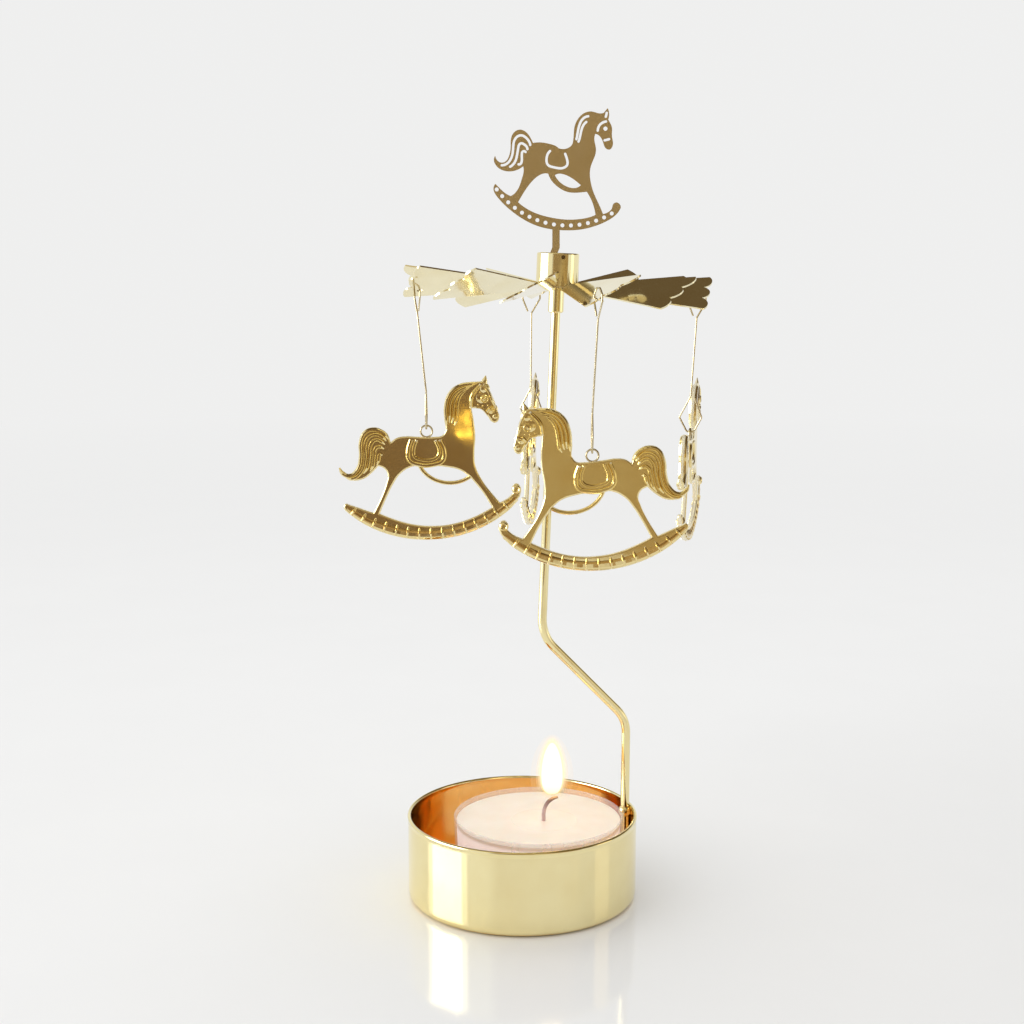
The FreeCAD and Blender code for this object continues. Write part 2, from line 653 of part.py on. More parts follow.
def make_horse():
    scale = horse_length / horse_drawn_length
    cut_depth = 2 * horse_thickness
    proud = horse_thickness + 2 * horse_relief
    horse = plate(horse_outline, scale, outline_drop, horse_thickness)
    added = [band(horse_saddle, scale, outline_drop, saddle_band_width, proud)]
    for strand in horse_strands:
        added.append(band(strand, scale, outline_drop, strand_width, proud))
    added.append(disc_through(flat_point(horse_eye, scale, outline_drop), eye_diameter, proud))
    rocker = edge_arc(*[flat_point(point, scale, outline_drop) for point in horse_rocker])
    circle = rocker.Curve
    rib_length = rocker_width * scale + rib_overhang
    for place in rocker.discretize(rib_count):
        rib = Part.makeBox(rib_width, proud, rib_length, vec(-rib_width / 2, -proud / 2, -rib_length / 2))
        to_centre = circle.Center - place
        rib.rotate(origin, rearward, math.degrees(math.atan2(to_centre.x, to_centre.z)))
        rib.translate(place)
        added.append(rib)
    ring = disc_through(origin, ring_diameter, ring_thickness)
    added.append(ring)
    horse = horse.multiFuse(added)
    for opening in (horse_arch, horse_lens):
        horse = horse.cut(plate(opening, scale, outline_drop, cut_depth))
    return horse.cut(disc_through(origin, ring_hole, cut_depth)).removeSplitter()


def place_horse(horse, pendant):
    placed = horse.copy()
    placed.translate(up * (-ring_drop))
    placed.rotate(origin, rearward, pendant["nod"])
    placed.rotate(origin, up, pendant["heading"])
    placed.translate(hook_foot(pendant))
    return placed


tealight_place = vec(cup_room / 2 - cup_side_gap, tealight_rear_shift, cup_floor)
wax_top = cup_floor + tealight_height - wax_below_rim
support_rod = make_support_rod()
parts = {
    "candle_cup": make_candle_cup(),
    "support_rod": support_rod,
    "rod_weld": make_rod_weld(support_rod),
    "bearing_cup": make_bearing_cup(),
    "hub_cap": make_hub_cap(),
    "hub_sleeve": make_hub_sleeve(),
    "blade_wheel": make_blade_wheel(),
    "top_horse": make_top_horse(),
    "stem_pin": make_stem_pin(),
    "tealight_cup": make_tealight_cup(tealight_place),
    "tealight_wax": make_wax(tealight_place, wax_top),
    "wick": make_wick(tealight_place, wax_top),
    "wick_sustainer": make_wick_sustainer(tealight_place),
}
horse = make_horse()
for name, pendant in pendants.items():
    parts["hook_wire_" + name] = make_hook_wire(pendant, name)
    parts["horse_" + name] = place_horse(horse, pendant)

os.makedirs("parts", exist_ok=True)
for node, shape in parts.items():
    box = shape.BoundBox
    print(node, shape.isValid(), len(shape.Solids), "volume", round(shape.Volume, 2),
          "z", round(box.ZMin, 2), round(box.ZMax, 2))
    shape.exportStep("parts/" + node + ".step")
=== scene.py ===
import json
import math

import bmesh
import bpy
from mathutils import Matrix, Vector
from mathutils.geometry import intersect_line_line


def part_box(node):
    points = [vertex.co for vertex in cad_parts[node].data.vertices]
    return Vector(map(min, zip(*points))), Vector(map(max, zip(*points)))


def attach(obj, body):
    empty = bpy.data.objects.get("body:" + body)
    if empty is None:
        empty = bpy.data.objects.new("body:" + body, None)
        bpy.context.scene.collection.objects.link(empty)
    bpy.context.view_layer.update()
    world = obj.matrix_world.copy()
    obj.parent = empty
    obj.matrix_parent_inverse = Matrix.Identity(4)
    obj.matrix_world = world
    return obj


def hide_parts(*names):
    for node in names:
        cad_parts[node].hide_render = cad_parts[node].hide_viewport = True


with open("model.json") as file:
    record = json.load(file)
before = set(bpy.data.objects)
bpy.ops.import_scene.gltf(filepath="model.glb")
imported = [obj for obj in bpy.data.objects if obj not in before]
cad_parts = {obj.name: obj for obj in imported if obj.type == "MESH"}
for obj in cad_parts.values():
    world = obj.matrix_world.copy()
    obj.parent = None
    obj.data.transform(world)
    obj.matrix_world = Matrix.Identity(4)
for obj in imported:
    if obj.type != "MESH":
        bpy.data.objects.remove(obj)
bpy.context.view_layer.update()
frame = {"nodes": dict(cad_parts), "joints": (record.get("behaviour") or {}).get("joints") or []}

mm = 0.001
scene = bpy.context.scene
nodes = frame["nodes"]
jointOf = {joint["child"]: joint for joint in frame["joints"]}
fullTurn = 2 * math.pi
closeBy = 0.01 * mm  # nearer than this is the same place
weldGap = 0.001 * mm
noiseSpan = (0.3, 0.7)  # most of a noise lies between these
print("frame loaded:", len(nodes), "nodes")


# small helpers for node trees

def startMaterial(name):
    material = bpy.data.materials.new(name)
    material.use_nodes = True
    return material, material.node_tree, material.node_tree.nodes["Principled BSDF"]


def objectCoords(tree, stretch=(1, 1, 1), shift=(0, 0, 0)):
    coords = tree.nodes.new("ShaderNodeTexCoord")
    mapping = tree.nodes.new("ShaderNodeMapping")
    mapping.inputs["Scale"].default_value = stretch
    mapping.inputs["Location"].default_value = shift
    tree.links.new(coords.outputs["Object"], mapping.inputs["Vector"])
    return mapping.outputs["Vector"]


def noiseField(tree, scale, detail=2.0, stretch=(1, 1, 1)):
    noise = tree.nodes.new("ShaderNodeTexNoise")
    noise.inputs["Scale"].default_value = scale
    noise.inputs["Detail"].default_value = detail
    tree.links.new(objectCoords(tree, stretch), noise.inputs["Vector"])
    return noise.outputs["Fac"]


def mapField(tree, field, fromLow, fromHigh, toLow, toHigh):
    ranged = tree.nodes.new("ShaderNodeMapRange")
    ranged.inputs["From Min"].default_value = fromLow
    ranged.inputs["From Max"].default_value = fromHigh
    ranged.inputs["To Min"].default_value = toLow
    ranged.inputs["To Max"].default_value = toHigh
    tree.links.new(field, ranged.inputs["Value"])
    return ranged.outputs["Result"]


def alongField(tree, vector, direction):
    along = tree.nodes.new("ShaderNodeVectorMath")
    along.operation = "DOT_PRODUCT"
    along.inputs[1].default_value = direction
    tree.links.new(vector, along.inputs[0])
    return along.outputs["Value"]


def rampField(tree, field, stops):
    ramp = tree.nodes.new("ShaderNodeValToRGB")
    elements = ramp.color_ramp.elements
    while len(elements) < len(stops):
        elements.new(1.0)
    for element, (place, colour) in zip(elements, stops):
        element.position = place
        element.color = (*colour, 1.0)
    tree.links.new(field, ramp.inputs["Fac"])
    return ramp.outputs["Color"]


def mixColour(tree, amount, first, second):
    mix = tree.nodes.new("ShaderNodeMix")
    mix.data_type = "RGBA"
    mix.inputs["B"].default_value = (*second, 1.0)
    tree.links.new(amount, mix.inputs["Factor"])
    tree.links.new(first, mix.inputs["A"])
    return mix.outputs["Result"]


def mixValue(tree, amount, first, second):
    mix = tree.nodes.new("ShaderNodeMix")
    mix.inputs["B"].default_value = second
    tree.links.new(amount, mix.inputs["Factor"])
    tree.links.new(first, mix.inputs["A"])
    return mix.outputs["Result"]


def bumpField(tree, field, strength, depth, under=None):
    bump = tree.nodes.new("ShaderNodeBump")
    bump.inputs["Strength"].default_value = strength
    bump.inputs["Distance"].default_value = depth
    tree.links.new(field, bump.inputs["Height"])
    if under is not None:
        tree.links.new(under, bump.inputs["Normal"])
    return bump.outputs["Normal"]


def tintField(tree, noise, deep, bright):
    return rampField(tree, noise, [(noiseSpan[0], deep), (noiseSpan[1], bright)])


def spreadField(tree, noise, low, high):
    return mapField(tree, noise, *noiseSpan, low, high)


def splitCoords(tree):
    split = tree.nodes.new("ShaderNodeSeparateXYZ")
    tree.links.new(objectCoords(tree), split.inputs["Vector"])
    return split.outputs


def lengthField(tree, vector):
    length = tree.nodes.new("ShaderNodeVectorMath")
    length.operation = "LENGTH"
    tree.links.new(vector, length.inputs[0])
    return length.outputs["Value"]


def mathField(tree, operation, first, second):
    result = tree.nodes.new("ShaderNodeMath")
    result.operation = operation
    tree.links.new(first, result.inputs[0])
    tree.links.new(second, result.inputs[1])
    return result.outputs["Value"]


def mixShaders(tree, amount, first, second):
    mix = tree.nodes.new("ShaderNodeMixShader")
    tree.links.new(amount, mix.inputs["Fac"])
    tree.links.new(first, mix.inputs[1])
    tree.links.new(second, mix.inputs[2])
    return mix.outputs["Shader"]


# metal finishes: plated sheet with a deeper orange copy for the cup's inside that is painted warm light, cast
# horses and the painted shade on a band of their rockers, drawn wire, brass, bronze

goldLooks = {
    "champagneGold": {
        "deep": (0.91, 0.79, 0.43), "bright": (0.96, 0.86, 0.50), "cloudSize": 9 * mm,
        "roughness": (0.05, 0.10), "smudgeSize": 5 * mm, "lineStretch": (0.05, 0.05, 1.0),
        "lineSize": 0.25 * mm, "lineStrength": 0.05, "waveSize": 14 * mm, "waveStrength": 0.05,
    },
    # the cup's inside: the same sheet in a deeper orange, painted flame light and gold-on-gold reflection
    "paintedFlameLightGold": {
        "deep": (0.97, 0.57, 0.14), "bright": (0.99, 0.68, 0.25), "cloudSize": 9 * mm,
        "roughness": (0.10, 0.18), "smudgeSize": 5 * mm, "lineStretch": (0.05, 0.05, 1.0),
        "lineSize": 0.25 * mm, "lineStrength": 0.08, "waveSize": 12 * mm, "waveStrength": 0.06,
    },
    "mirrorGold": {
        "deep": (0.88, 0.79, 0.51), "bright": (0.94, 0.87, 0.62), "cloudSize": 7 * mm,
        "roughness": (0.04, 0.10), "smudgeSize": 4 * mm, "lineStretch": (0.2, 1.0, 1.0),
        "lineSize": 0.3 * mm, "lineStrength": 0.03, "waveSize": 9 * mm, "waveStrength": 0.08,
    },
    "horseGold": {
        "deep": (0.84, 0.68, 0.32), "bright": (0.90, 0.77, 0.41), "cloudSize": 6 * mm,
        "roughness": (0.03, 0.07), "smudgeSize": 2.5 * mm, "lineStretch": (1.0, 1.0, 1.0),
        "lineSize": 0.22 * mm, "lineStrength": 0.05, "waveSize": 6 * mm, "waveStrength": 0.04,
        # rim: the pale colour of the painted highlight along the rims, which are also rougher and less
        # metallic
        "rim": (0.97, 0.91, 0.72), "rimMetal": 0.35, "rimRoughness": 0.38,
    },
    # painted shade: a darker copy of the horse gold for the rocker's swell above its crest
    "paintedShadeGold": {
        "deep": (0.58, 0.38, 0.13), "bright": (0.70, 0.49, 0.19), "cloudSize": 1.2 * mm,
        "roughness": (0.12, 0.3), "smudgeSize": 0.8 * mm, "lineStretch": (1.0, 1.0, 1.0),
        "lineSize": 0.35 * mm, "lineStrength": 0.6, "waveSize": 2 * mm, "waveStrength": 0.08,
    },
    "goldWire": {
        "deep": (0.54, 0.46, 0.29), "bright": (0.68, 0.59, 0.40), "cloudSize": 3 * mm,
        "roughness": (0.10, 0.2), "smudgeSize": 1.5 * mm, "lineStretch": (1.0, 1.0, 0.05),
        "lineSize": 0.12 * mm, "lineStrength": 0.08, "waveSize": 4 * mm, "waveStrength": 0.04,
    },
    "bearingBrass": {
        "deep": (0.60, 0.42, 0.17), "bright": (0.72, 0.53, 0.24), "cloudSize": 1.5 * mm,
        "roughness": (0.18, 0.3), "smudgeSize": 1 * mm, "lineStretch": (0.1, 0.1, 1.0),
        "lineSize": 0.15 * mm, "lineStrength": 0.2, "waveSize": 3 * mm, "waveStrength": 0.05,
    },
    "pinBronze": {
        "deep": (0.13, 0.085, 0.04), "bright": (0.20, 0.14, 0.07), "cloudSize": 0.5 * mm,
        "roughness": (0.3, 0.45), "smudgeSize": 0.4 * mm, "lineStretch": (1.0, 1.0, 1.0),
        "lineSize": 0.1 * mm, "lineStrength": 0.1, "waveSize": 1 * mm, "waveStrength": 0.05,
    },
}
goldGrain = {"cloudDetail": 3.0, "smudgeDetail": 5.0, "waveDetail": 1.0, "lineDetail": 2.0,
             "waveDepth": 0.5 * mm, "lineDepth": 0.01 * mm}


def makeGold(name):
    look = goldLooks[name]
    material, tree, shader = startMaterial(name)
    shader.inputs["Metallic"].default_value = 1.0
    clouds = noiseField(tree, 1 / look["cloudSize"], goldGrain["cloudDetail"])
    tint = tintField(tree, clouds, look["deep"], look["bright"])
    smudges = noiseField(tree, 1 / look["smudgeSize"], goldGrain["smudgeDetail"])
    polish = spreadField(tree, smudges, *look["roughness"])
    if "rim" in look:
        # the rims carry a painted highlight: paler than the flats, and also duller
        rim = tree.nodes.new("ShaderNodeAttribute")
        rim.attribute_name = "rim"
        amount = rim.outputs["Fac"]
        tint = mixColour(tree, amount, tint, look["rim"])
        polish = mixValue(tree, amount, polish, look["rimRoughness"])
        metal = mapField(tree, amount, 0.0, 1.0, 1.0, look["rimMetal"])
        tree.links.new(metal, shader.inputs["Metallic"])
    tree.links.new(tint, shader.inputs["Base Color"])
    tree.links.new(polish, shader.inputs["Roughness"])
    waves = noiseField(tree, 1 / look["waveSize"], goldGrain["waveDetail"])
    wavy = bumpField(tree, waves, look["waveStrength"], goldGrain["waveDepth"])
    fineLines = noiseField(tree, 1 / look["lineSize"], goldGrain["lineDetail"], look["lineStretch"])
    lined = bumpField(tree, fineLines, look["lineStrength"], goldGrain["lineDepth"], wavy)
    tree.links.new(lined, shader.inputs["Normal"])
    return material


finish = {name: makeGold(name) for name in goldLooks}
print("metal finishes:", len(finish))


# building helpers

def shadeRound(bm, angle):
    # round shading with crisp edges; a flat face keeps its own normal beside a rounded rim
    limit = math.radians(angle)
    for face in bm.faces:
        face.smooth = True
    for edge in bm.edges:
        edge.smooth = edge.calc_face_angle(0.0) < limit


def meshObject(name, bm, materials):
    mesh = bpy.data.meshes.new(name)
    bm.to_mesh(mesh)
    bm.free()
    for material in materials:
        mesh.materials.append(material)
    made = bpy.data.objects.new(name, mesh)
    scene.collection.objects.link(made)
    return made


def makePiece(name, bm, materials, body, replaced=()):
    piece = meshObject(name, bm, materials)
    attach(piece, body)
    if replaced:
        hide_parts(*replaced)
    print("piece", name, len(piece.data.polygons), "faces")
    return piece


def cleanUp(bm):
    bmesh.ops.remove_doubles(bm, verts=bm.verts, dist=weldGap)
    bmesh.ops.recalc_face_normals(bm, faces=bm.faces)


def spinProfile(bm, profile, centre, steps):
    # profile: (radius, height) pairs, turned about the upright line through centre
    verts = [bm.verts.new((centre[0] + radius, centre[1], height)) for radius, height in profile]
    edges = [bm.edges.new(pair) for pair in zip(verts, verts[1:])]
    bmesh.ops.spin(bm, geom=verts + edges, cent=(centre[0], centre[1], 0), axis=(0, 0, 1), angle=fullTurn,
                   steps=steps, use_merge=True)
    cleanUp(bm)


def roundRing(bm, centre, radius, height, amount, segments):
    # bevels the ring of edges at this radius and height
    ring = []
    for edge in bm.edges:
        ends = [(math.hypot(v.co.x - centre[0], v.co.y - centre[1]), v.co.z) for v in edge.verts]
        if all(abs(r - radius) < closeBy and abs(z - height) < closeBy for r, z in ends):
            ring.append(edge)
    bmesh.ops.bevel(bm, geom=ring, offset=amount, offset_type="OFFSET", segments=segments, profile=0.5,
                    affect="EDGES", material=-1, clamp_overlap=True)


def boxCentre(node):
    low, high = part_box(node)
    return (Vector(low) + Vector(high)) / 2


def boxRadius(node):
    low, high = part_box(node)
    return (high[0] - low[0]) / 2


# candle cup: spun sheet with a rolled lip and a rounded foot

candleCup = {"wall": 0.6 * mm, "floor": 0.6 * mm, "footRound": 1.8 * mm, "footSteps": 8,
             "innerRound": 1.2 * mm, "innerSteps": 6, "bead": 0.42 * mm, "beadSteps": 14,
             "loopGap": 0.6 * mm, "steps": 192, "crease": 35}


def beadProfile(radius, height):
    # the rolled lip, from where it leaves the outside of the wall to where it meets the inside
    bead = candleCup["bead"]
    lean = math.acos(candleCup["wall"] / 2 / bead)
    steps = candleCup["beadSteps"]
    angles = [-lean + (math.pi + 2 * lean) * step / steps for step in range(steps + 1)]
    return [(radius + bead * math.cos(angle), height - bead + bead * math.sin(angle)) for angle in angles]


def buildCandleCup():
    outer = boxRadius("candle_cup")
    inner = outer - candleCup["wall"]
    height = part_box("candle_cup")[1][2]
    floor = candleCup["floor"]
    centre = (0.0, 0.0)
    gap = candleCup["loopGap"]  # a loop beside each rounding keeps the wall's shading straight
    top = height - 2 * candleCup["bead"] - gap
    profile = [(0, 0), (outer, 0), (outer, candleCup["footRound"] + gap), (outer, top),
               *beadProfile((outer + inner) / 2, height), (inner, top),
               (inner, floor + candleCup["innerRound"] + gap), (inner, floor), (0, floor)]
    bm = bmesh.new()
    spinProfile(bm, profile, centre, candleCup["steps"])
    roundRing(bm, centre, outer, 0, candleCup["footRound"], candleCup["footSteps"])
    roundRing(bm, centre, inner, floor, candleCup["innerRound"], candleCup["innerSteps"])
    cleanUp(bm)
    shadeRound(bm, candleCup["crease"])
    # the inside of the wall and floor gets the deeper orange gold, painted flame light; the outside and the
    # lip keep the plain gold
    for face in bm.faces:
        middle = face.calc_center_median()
        within = middle.xy.length < inner + closeBy
        face.material_index = 1 if within and floor / 2 < middle.z < height - candleCup["bead"] else 0
    finishes = [finish["champagneGold"], finish["paintedFlameLightGold"]]
    makePiece("cupShell", bm, finishes, "base", ["candle_cup"])


# tea light: clear cup

clearCup = {
    "wall": 0.5 * mm, "floor": 0.5 * mm, "taper": 0.7 * mm, "rimRound": 0.2 * mm, "rimSteps": 3,
    "footRound": 1.0 * mm, "footSteps": 5, "steps": 128, "crease": 35,
    "streakSize": 5 * mm, "streakStretch": (1, 1, 0.2), "streakSpan": (0.35, 0.65),
    "dull": (0.93, 0.84, 0.82), "clear": (0.98, 0.92, 0.90), "roughness": (0.06, 0.16), "ior": 1.49,
    "cover": 0.28, "bump": 0.03, "bumpDepth": 0.05 * mm,
}


def makeClearPlastic():
    material, tree, shader = startMaterial("clearPlastic")
    streaks = noiseField(tree, 1 / clearCup["streakSize"], stretch=clearCup["streakStretch"])
    low, high = clearCup["streakSpan"]
    tint = rampField(tree, streaks, [(low, clearCup["dull"]), (high, clearCup["clear"])])
    tree.links.new(tint, shader.inputs["Base Color"])
    tree.links.new(spreadField(tree, streaks, *clearCup["roughness"]), shader.inputs["Roughness"])
    shader.inputs["IOR"].default_value = clearCup["ior"]
    shader.inputs["Alpha"].default_value = clearCup["cover"]
    tree.links.new(bumpField(tree, streaks, clearCup["bump"], clearCup["bumpDepth"]), shader.inputs["Normal"])
    return material


def buildClearCup():
    low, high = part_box("tealight_cup")
    centre = boxCentre("tealight_cup")
    bottom = low[2]
    rim = high[2]
    top = boxRadius("tealight_cup")
    foot = top - clearCup["taper"]
    wall = clearCup["wall"]
    floor = bottom + clearCup["floor"]
    profile = [(0, bottom), (foot, bottom), (top, rim), (top - wall, rim), (foot - wall, floor), (0, floor)]
    bm = bmesh.new()
    spinProfile(bm, profile, centre, clearCup["steps"])
    roundRing(bm, centre, foot, bottom, clearCup["footRound"], clearCup["footSteps"])
    for radius in (top, top - wall):
        roundRing(bm, centre, radius, rim, clearCup["rimRound"], clearCup["rimSteps"])
    cleanUp(bm)
    shadeRound(bm, clearCup["crease"])
    makePiece("tealightShell", bm, [makeClearPlastic()], "tealight", ["tealight_cup"])


# tea light: wax with a melt pool

wax = {
    "taper": 0.65 * mm, "meniscus": 0.2 * mm, "meniscusWidth": 1.2 * mm, "steps": 128, "crease": 50,
    # the pool from its edge to its middle, in shares of its radius and depth
    "poolRadius": 7.0 * mm, "poolDepth": 0.2 * mm, "pool": [(1.0, 0.0), (0.8, 0.8), (0.3, 1.0), (0.0, 1.0)],
    "cloudSize": 6 * mm, "cloudDetail": 4.0, "deep": (0.93, 0.80, 0.66), "bright": (0.96, 0.86, 0.74),
    "scatter": 0.35, "scatterRadius": (1.0, 0.62, 0.38), "scatterScale": 3 * mm,
    # glow: painted glow of the wax's sides, standing in for flame light inside the wax
    "glowColour": (0.95, 0.92, 0.98), "paintedGlowDepth": (1.2 * mm, 0.5 * mm), "glow": (0.52, 0.03),
    "wickShift": 0.6 * mm, "wetReach": (5 * mm, 11 * mm), "roughness": (0.14, 0.46),
    "bump": 0.12, "bumpDepth": 0.3 * mm,
}


def makeWax(wickRoot):
    material, tree, shader = startMaterial("creamWax")
    clouds = noiseField(tree, 1 / wax["cloudSize"], wax["cloudDetail"])
    tree.links.new(tintField(tree, clouds, wax["deep"], wax["bright"]), shader.inputs["Base Color"])
    shader.inputs["Subsurface Weight"].default_value = wax["scatter"]
    shader.inputs["Subsurface Radius"].default_value = wax["scatterRadius"]
    shader.inputs["Subsurface Scale"].default_value = wax["scatterScale"]
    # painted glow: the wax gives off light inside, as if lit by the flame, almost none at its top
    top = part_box("tealight_wax")[1][2]
    deep, shallow = wax["paintedGlowDepth"]
    glow = mapField(tree, splitCoords(tree)["Z"], top - deep, top - shallow, *wax["glow"])
    shader.inputs["Emission Color"].default_value = (*wax["glowColour"], 1.0)
    tree.links.new(glow, shader.inputs["Emission Strength"])
    # glossy where it is molten round the wick
    away = lengthField(tree, objectCoords(tree, (1, 1, 0), (-wickRoot[0], -wickRoot[1], 0)))
    tree.links.new(mapField(tree, away, *wax["wetReach"], *wax["roughness"]), shader.inputs["Roughness"])
    tree.links.new(bumpField(tree, clouds, wax["bump"], wax["bumpDepth"]), shader.inputs["Normal"])
    return material


def buildWax():
    low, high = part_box("tealight_wax")
    centre = boxCentre("tealight_cup")
    edge = boxRadius("tealight_wax")
    surface = high[2] - wax["meniscus"]
    profile = [(0, low[2]), (edge - wax["taper"], low[2]), (edge, high[2]),
               (edge - wax["meniscusWidth"], surface)]
    for out, down in wax["pool"]:
        profile.append((wax["poolRadius"] * out, surface - wax["poolDepth"] * down))
    bm = bmesh.new()
    spinProfile(bm, profile, centre, wax["steps"])
    shadeRound(bm, wax["crease"])
    wickRoot = (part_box("wick")[0][0] + wax["wickShift"], centre[1])
    makePiece("waxFill", bm, [makeWax(wickRoot)], "tealight", ["tealight_wax"])


# tea light: wick, and the tin of its sustainer

wick = {
    "path": [(5.0, 1.4), (5.0, 10.0), (4.9, 17.4), (4.95, 19.6), (5.5, 21.3), (6.6, 22.5), (8.1, 23.1)],
    "width": 0.44, "tip": 0.7, "crease": 60, "roughness": 0.75,
    # from the wax up to the tip: lilac, burnt, ember
    "soot": [(0.0, (0.62, 0.44, 0.42)), (0.4, (0.62, 0.44, 0.42)), (0.8, (0.24, 0.14, 0.13)),
             (1.0, (0.55, 0.33, 0.20))],
    "braidScale": 500, "braidTwist": 2.0, "bump": 0.8, "bumpDepth": 0.1 * mm,
}
tinPlate = {"deep": (0.60, 0.59, 0.57), "bright": (0.74, 0.73, 0.70), "cloudSize": 1 * mm, "cloudDetail": 4.0,
            "roughness": (0.22, 0.4), "bump": 0.15, "bumpDepth": 0.05 * mm}


def makeWick():
    material, tree, shader = startMaterial("cottonWick")
    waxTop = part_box("tealight_wax")[1][2]
    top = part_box("wick")[1][2]
    climb = mapField(tree, splitCoords(tree)["Z"], waxTop, top, 0.0, 1.0)
    tree.links.new(rampField(tree, climb, wick["soot"]), shader.inputs["Base Color"])
    shader.inputs["Roughness"].default_value = wick["roughness"]
    braid = tree.nodes.new("ShaderNodeTexWave")
    braid.bands_direction = "DIAGONAL"
    braid.inputs["Scale"].default_value = wick["braidScale"]
    braid.inputs["Distortion"].default_value = wick["braidTwist"]
    tree.links.new(objectCoords(tree), braid.inputs["Vector"])
    strands = bumpField(tree, braid.outputs["Fac"], wick["bump"], wick["bumpDepth"])
    tree.links.new(strands, shader.inputs["Normal"])
    return material


def buildWick():
    bm = bmesh.new()
    radii = [1.0] * (len(wick["path"]) - 1) + [wick["tip"]]
    addLine(bm, wick["path"], wick["width"], wick["width"], radii)
    bmesh.ops.translate(bm, verts=bm.verts, vec=(0, boxCentre("wick").y, 0))
    cleanUp(bm)
    shadeRound(bm, wick["crease"])
    makePiece("braidedWick", bm, [makeWick()], "tealight", ["wick"])


def makeTin():
    material, tree, shader = startMaterial("tinPlate")
    shader.inputs["Metallic"].default_value = 1.0
    clouds = noiseField(tree, 1 / tinPlate["cloudSize"], tinPlate["cloudDetail"])
    tree.links.new(tintField(tree, clouds, tinPlate["deep"], tinPlate["bright"]), shader.inputs["Base Color"])
    tree.links.new(spreadField(tree, clouds, *tinPlate["roughness"]), shader.inputs["Roughness"])
    tree.links.new(bumpField(tree, clouds, tinPlate["bump"], tinPlate["bumpDepth"]), shader.inputs["Normal"])
    return material


# flame: nested drops that thin out towards the edge

flame = {
    "low": 23.2 * mm, "high": 37.0 * mm, "radius": 3.2 * mm, "shift": 2.35 * mm, "middle": 0.4, "steps": 24,
    "crease": 180, "rounding": 2,
    "shape": [(0.0, 0.0), (0.55, 0.02), (0.88, 0.11), (1.0, 0.26), (1.0, 0.43), (0.91, 0.60), (0.74, 0.76),
              (0.50, 0.89), (0.26, 0.97), (0.0, 1.0)],
    # name, width, height, cover, strength
    "layers": [("flameCore", 0.76, 0.87, 0.96, 3.6), ("flameMantle", 0.89, 0.94, 0.35, 1.6),
               ("flameVeil", 1.01, 1.0, 0.18, 1.5), ("flameHaze", 1.16, 1.05, 0.10, 1.4),
               ("flameHalo", 1.55, 1.10, 0.05, 1.4)],
    # the foot is clearer and of another colour
    "colour": (1.0, 0.74, 0.43), "foot": (1.0, 0.70, 0.28), "footShare": 0.25, "footCover": 0.3,
    "glow": 0.0021, "glowColour": (1.0, 0.62, 0.34), "glowSize": 3 * mm,
}


def makeFire(name, cover, strength):
    material, tree, shader = startMaterial(name)
    tree.nodes.remove(shader)
    climb = mapField(tree, splitCoords(tree)["Z"], flame["low"], flame["high"], 0.0, 1.0)
    fire = tree.nodes.new("ShaderNodeEmission")
    fire.inputs["Strength"].default_value = strength
    tint = rampField(tree, climb, [(0.0, flame["foot"]), (flame["footShare"], flame["colour"])])
    tree.links.new(tint, fire.inputs["Color"])
    clear = tree.nodes.new("ShaderNodeBsdfTransparent")
    amount = mapField(tree, climb, 0.0, flame["footShare"], cover * flame["footCover"], cover)
    seen = mixShaders(tree, amount, clear.outputs["BSDF"], fire.outputs["Emission"])
    tree.links.new(seen, tree.nodes["Material Output"].inputs["Surface"])
    return material


def buildFlame():
    low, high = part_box("wick")
    centre = (low[0] + flame["shift"], (low[1] + high[1]) / 2)
    reach = flame["high"] - flame["low"]
    middle = flame["low"] + reach * flame["middle"]
    for name, width, tall, cover, strength in flame["layers"]:
        profile = []
        for radius, climb in flame["shape"]:
            height = middle + (flame["low"] + climb * reach - middle) * tall
            profile.append((radius * flame["radius"] * width, height))
        bm = bmesh.new()
        spinProfile(bm, profile, centre, flame["steps"])
        shadeRound(bm, flame["crease"])
        piece = makePiece(name, bm, [makeFire(name, cover, strength)], "tealight")
        piece.visible_shadow = False
        rounder = piece.modifiers.new("rounder", "SUBSURF")
        rounder.levels = flame["rounding"]
        rounder.render_levels = flame["rounding"]
    light = bpy.data.lights.new("flameGlow", "POINT")
    light.energy = flame["glow"]
    light.color = flame["glowColour"]
    light.shadow_soft_size = flame["glowSize"]
    glow = bpy.data.objects.new("flameGlow", light)
    glow.location = (*centre, middle)
    glow.visible_glossy = False
    scene.collection.objects.link(glow)


# cast horses: a rounded plate with raised mane, tail, saddle, bridle and a ribbed rocker

